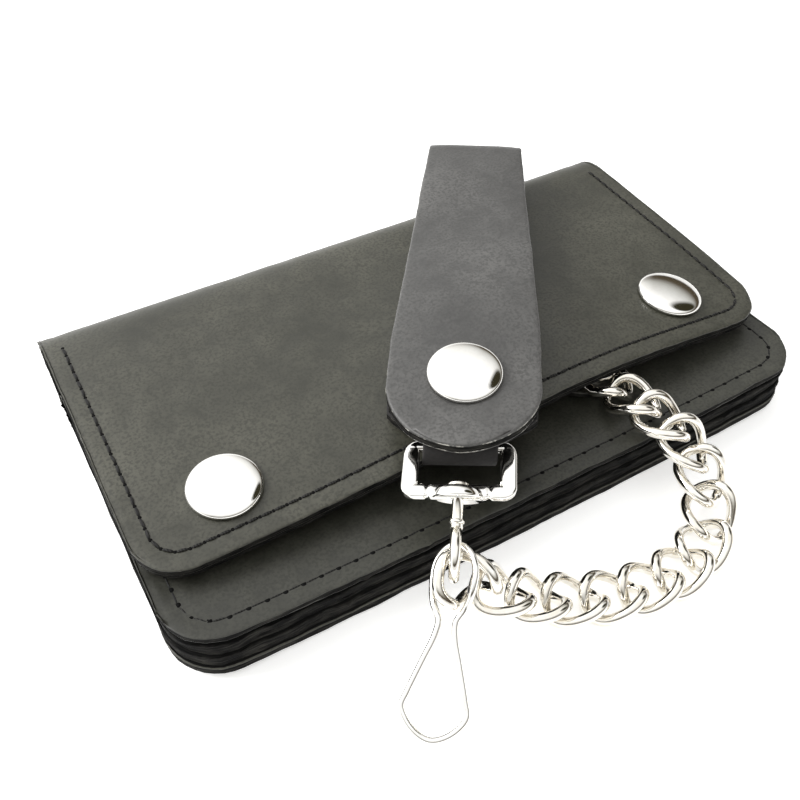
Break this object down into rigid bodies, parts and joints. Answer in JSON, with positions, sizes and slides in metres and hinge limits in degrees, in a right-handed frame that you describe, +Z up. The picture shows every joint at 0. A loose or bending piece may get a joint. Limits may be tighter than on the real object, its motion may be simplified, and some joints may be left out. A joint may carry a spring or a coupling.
{
  "type": "chain wallet",
  "caption": "Long leather wallet with a snap-down cover, a curb chain to a swivel ring, a snap-closed belt strap and a wire key loop.",
  "frame": {"origin": "on the table, under the middle of the back shell", "axes": "+X along the wallet's length, +Y towards the fold, +Z up from the back shell to the cover"},
  "size_m": [0.165, 0.1378, 0.0391],
  "materials": {
    "back_shell": "pebble grain, satin",
    "bill_pocket_leaf": "matt flesh and edge side",
    "bill_divider_leaf": "matt flesh and edge side",
    "checkbook_pocket_leaf": "matt flesh and edge side",
    "card_pocket_leaf": "matt flesh and edge side",
    "top_panel": "pebble grain, satin",
    "snap_stud_left": "polished nickel",
    "snap_stud_rivet_left": "polished nickel",
    "snap_stud_right": "polished nickel",
    "snap_stud_rivet_right": "polished nickel",
    "spine_leather": "pebble grain, satin",
    "cover_shell": "pebble grain, satin",
    "cover_lining": "matt flesh and edge side",
    "snap_cap_left": "polished",
    "snap_socket_left": "polished nickel",
    "snap_cap_right": "polished",
    "snap_socket_right": "polished nickel",
    "chain_tab": "pebble grain, satin",
    "chain_rivet": "polished nickel",
    "strap_lower": "fine pebble grain, satin",
    "strap_flap": "fine pebble grain, satin",
    "snap_cap_strap": "polished",
    "snap_socket_strap": "polished nickel",
    "snap_stud_strap": "polished nickel",
    "snap_stud_rivet_strap": "polished nickel",
    "square_ring": "polished",
    "swivel_eye": "polished nickel",
    "chain_link_01": "polished nickel",
    "chain_link_02": "polished nickel",
    "chain_link_03": "polished nickel",
    "chain_link_04": "polished nickel",
    "chain_link_05": "polished nickel",
    "chain_link_06": "polished nickel",
    "chain_link_07": "polished nickel",
    "chain_link_08": "polished nickel",
    "chain_link_09": "polished nickel",
    "chain_link_10": "polished nickel",
    "chain_link_11": "polished nickel",
    "chain_link_12": "polished nickel",
    "chain_link_13": "polished nickel",
    "chain_link_14": "polished nickel",
    "key_wire": "polished"
  },
  "bodies": {
    "stack": {"back_shell": "back_shell", "bill_pocket_leaf": "bill_pocket_leaf", "bill_divider_leaf": "bill_divider_leaf", "checkbook_pocket_leaf": "checkbook_pocket_leaf", "card_pocket_leaf": "card_pocket_leaf", "top_panel": "top_panel", "snap_stud_left": "snap_stud_left", "snap_stud_right": "snap_stud_right", "snap_stud_rivet_left": "snap_stud_rivet_left", "snap_stud_rivet_right": "snap_stud_rivet_right"},
    "spine": {"spine_leather": "spine_leather"},
    "cover": {"cover_shell": "cover_shell", "cover_lining": "cover_lining", "snap_cap_left": "snap_cap_left", "snap_cap_right": "snap_cap_right", "snap_socket_left": "snap_socket_left", "snap_socket_right": "snap_socket_right", "chain_tab": "chain_tab", "chain_rivet": "chain_rivet"},
    "link_01": {"chain_link_01": "chain_link_01"},
    "link_02": {"chain_link_02": "chain_link_02"},
    "link_03": {"chain_link_03": "chain_link_03"},
    "link_04": {"chain_link_04": "chain_link_04"},
    "link_05": {"chain_link_05": "chain_link_05"},
    "link_06": {"chain_link_06": "chain_link_06"},
    "link_07": {"chain_link_07": "chain_link_07"},
    "link_08": {"chain_link_08": "chain_link_08"},
    "link_09": {"chain_link_09": "chain_link_09"},
    "link_10": {"chain_link_10": "chain_link_10"},
    "link_11": {"chain_link_11": "chain_link_11"},
    "link_12": {"chain_link_12": "chain_link_12"},
    "link_13": {"chain_link_13": "chain_link_13"},
    "link_14": {"chain_link_14": "chain_link_14"},
    "swivel": {"swivel_eye": "swivel_eye"},
    "ring": {"square_ring": "square_ring"},
    "strap": {"strap_lower": "strap_lower", "snap_stud_strap": "snap_stud_strap", "snap_stud_rivet_strap": "snap_stud_rivet_strap"},
    "flap": {"strap_flap": "strap_flap", "snap_cap_strap": "snap_cap_strap", "snap_socket_strap": "snap_socket_strap"},
    "key": {"key_wire": "key_wire"}
  },
  "joints": [
    {"name": "spine_fold", "type": "hinge", "parent": "stack", "child": "spine", "pos_m": [0, 0.04657, 0.00262], "axis": [-1, 0, 0], "range_deg": [0, 83]},
    {"name": "cover_fold", "type": "hinge", "parent": "spine", "child": "cover", "pos_m": [0, 0.04657, 0.02338], "axis": [-1, 0, 0], "range_deg": [0, 83]},
    {"name": "chain_rivet_swing", "type": "hinge", "parent": "cover", "child": "link_01", "pos_m": [0.031, -0.026, 0.01754], "axis": [0, 0, 1], "range_deg": [0, 2.5]},
    {"name": "chain_joint_01_02", "type": "hinge", "parent": "link_01", "child": "link_02", "pos_m": [0.03166, -0.03321, 0.0173], "axis": [0, 0, -1], "range_deg": [-1.5, 0]},
    {"name": "chain_joint_02_03", "type": "hinge", "parent": "link_02", "child": "link_03", "pos_m": [0.03313, -0.04169, 0.01787], "axis": [0, 0, 1], "range_deg": [0, 3.5]},
    {"name": "chain_joint_03_04", "type": "hinge", "parent": "link_03", "child": "link_04", "pos_m": [0.03591, -0.04879, 0.01562], "axis": [0, 0, -1], "range_deg": [-8, 0]},
    {"name": "chain_joint_04_05", "type": "hinge", "parent": "link_04", "child": "link_05", "pos_m": [0.0373, -0.0553, 0.01132], "axis": [0, 0, 1], "range_deg": [0, 25]},
    {"name": "chain_joint_05_06", "type": "hinge", "parent": "link_05", "child": "link_06", "pos_m": [0.03581, -0.06172, 0.00688], "axis": [0, 0, -1], "range_deg": [-30, 0]},
    {"name": "chain_joint_06_07", "type": "hinge", "parent": "link_06", "child": "link_07", "pos_m": [0.03071, -0.06807, 0.00399], "axis": [0, 0, 1], "range_deg": [0, 30]},
    {"name": "chain_joint_07_08", "type": "hinge", "parent": "link_07", "child": "link_08", "pos_m": [0.02295, -0.07184, 0.00347], "axis": [0, 0, -1], "range_deg": [-30, 0]},
    {"name": "chain_joint_08_09", "type": "hinge", "parent": "link_08", "child": "link_09", "pos_m": [0.01436, -0.0727, 0.0035], "axis": [0, 0, 1], "range_deg": [0, 30]},
    {"name": "chain_joint_09_10", "type": "hinge", "parent": "link_09", "child": "link_10", "pos_m": [0.00581, -0.07154, 0.00346], "axis": [0, 0, -1], "range_deg": [-30, 0]},
    {"name": "chain_joint_10_11", "type": "hinge", "parent": "link_10", "child": "link_11", "pos_m": [-0.00243, -0.06894, 0.00378], "axis": [0, 0, 1], "range_deg": [0, 25]},
    {"name": "chain_joint_11_12", "type": "hinge", "parent": "link_11", "child": "link_12", "pos_m": [-0.01029, -0.06582, 0.00549], "axis": [0, 0, -1], "range_deg": [-25, 0]},
    {"name": "chain_joint_12_13", "type": "hinge", "parent": "link_12", "child": "link_13", "pos_m": [-0.01758, -0.06301, 0.00919], "axis": [0, 0, 1], "range_deg": [0, 25]},
    {"name": "chain_joint_13_14", "type": "hinge", "parent": "link_13", "child": "link_14", "pos_m": [-0.02442, -0.06011, 0.01358], "axis": [0, 0, -1], "range_deg": [-6, 0]},
    {"name": "eye_swing", "type": "hinge", "parent": "link_14", "child": "swivel", "pos_m": [-0.02991, -0.05776, 0.01758], "axis": [0.8202, -0.5721, 0], "range_deg": [0, 1]},
    {"name": "swivel_spin", "type": "hinge", "parent": "swivel", "child": "ring", "pos_m": [-0.02138, -0.04552, 0.02551], "axis": [-0.5052, -0.7242, -0.4695], "range_deg": [0, 1]},
    {"name": "strap_lift", "type": "hinge", "parent": "ring", "child": "strap", "pos_m": [-0.01508, -0.0365, 0.02671], "axis": [0.8202, -0.5721, 0], "range_deg": [0, 40]},
    {"name": "flap_open", "type": "hinge", "parent": "strap", "child": "flap", "pos_m": [0.04282, 0.0465, 0.0391], "axis": [-0.8202, 0.5721, 0], "range_deg": [0, 90]},
    {"name": "key_swing", "type": "hinge", "parent": "swivel", "child": "key", "pos_m": [-0.02991, -0.05776, 0.01758], "axis": [0.8202, -0.5721, 0], "range_deg": [0, 1.2]}
  ],
  "couplings": [
    {"joint": "cover_fold", "follows": "spine_fold", "ratio": 1}
  ]
}
